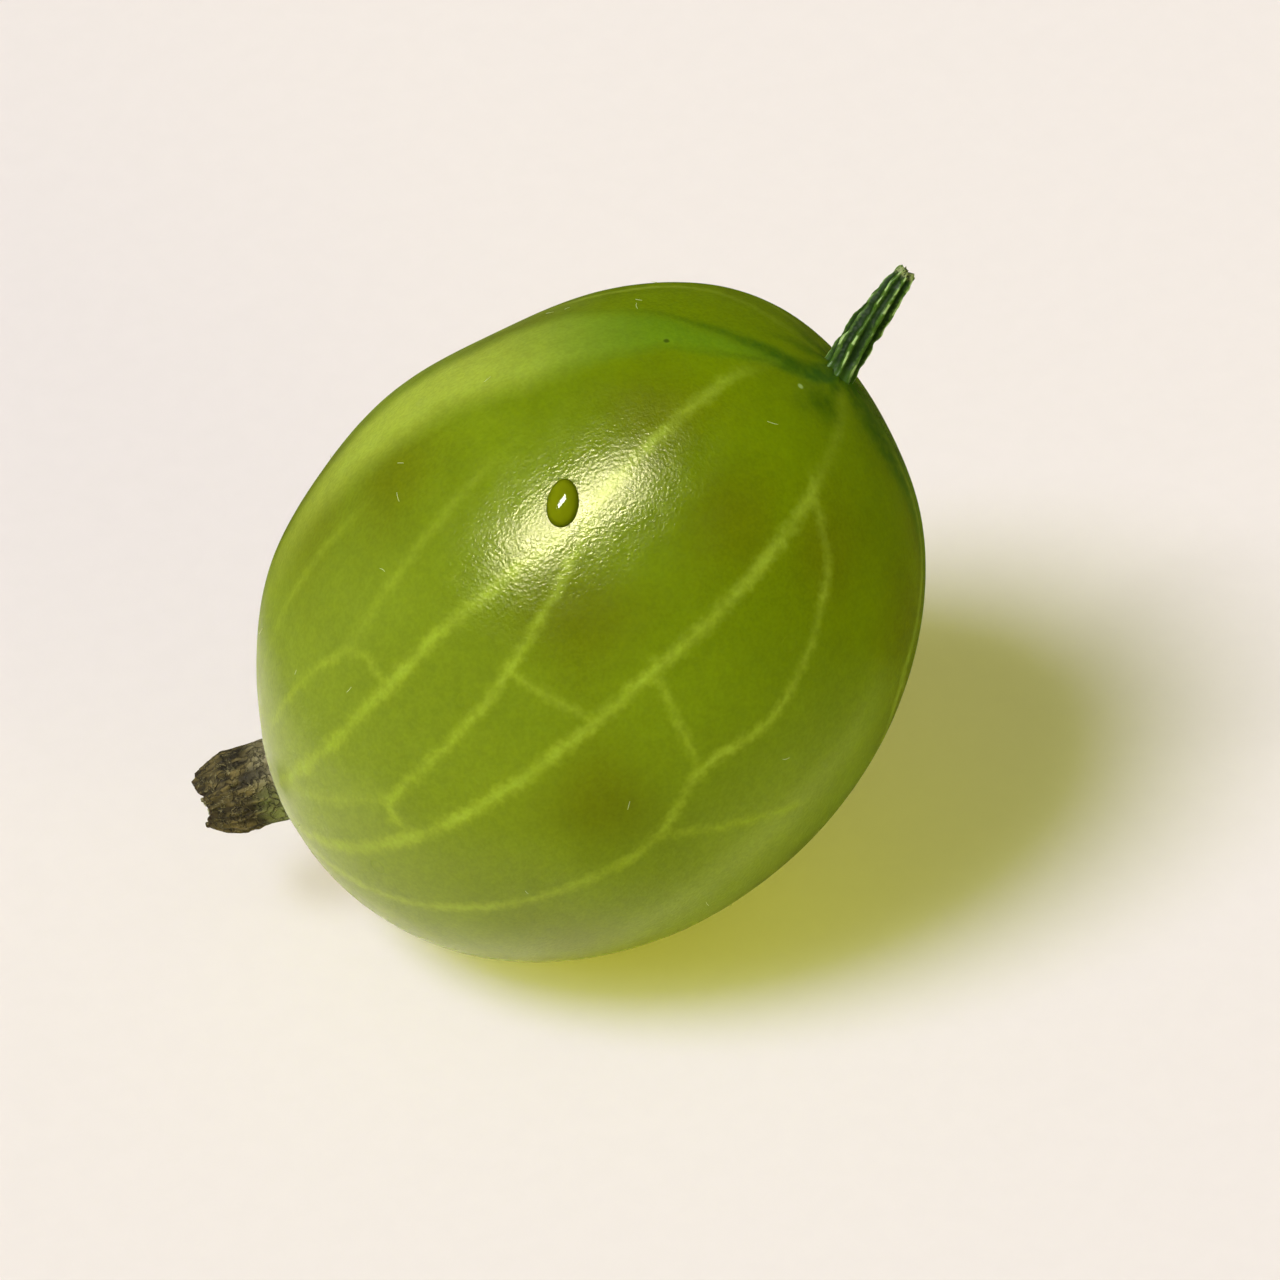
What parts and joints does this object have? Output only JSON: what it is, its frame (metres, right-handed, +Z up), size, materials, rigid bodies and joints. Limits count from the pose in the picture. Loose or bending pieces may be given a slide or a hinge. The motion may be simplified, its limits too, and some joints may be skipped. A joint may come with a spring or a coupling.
{
  "type": "gooseberry",
  "caption": "Whole green gooseberry lying on its side on a small flat spot, with its stalk stub at one end and its dried flower at the other.",
  "frame": {"origin": "centre of the small flat spot that the fruit rests on", "axes": "+Z up; +X the fruit's longest level extent, towards the raised stalk end; the dried flower is at -X, low and a little towards +Y"},
  "size_m": [0.0232, 0.0192, 0.0204],
  "materials": {
    "berry_skin": "satin",
    "green_stalk": "satin",
    "dried_sepals": "matte",
    "withered_thread": "matte"
  },
  "bodies": {
    "root": {"berry": "berry_skin", "stalk": "green_stalk", "dried_calyx": "dried_sepals", "withered_style": "withered_thread"}
  },
  "joints": []
}
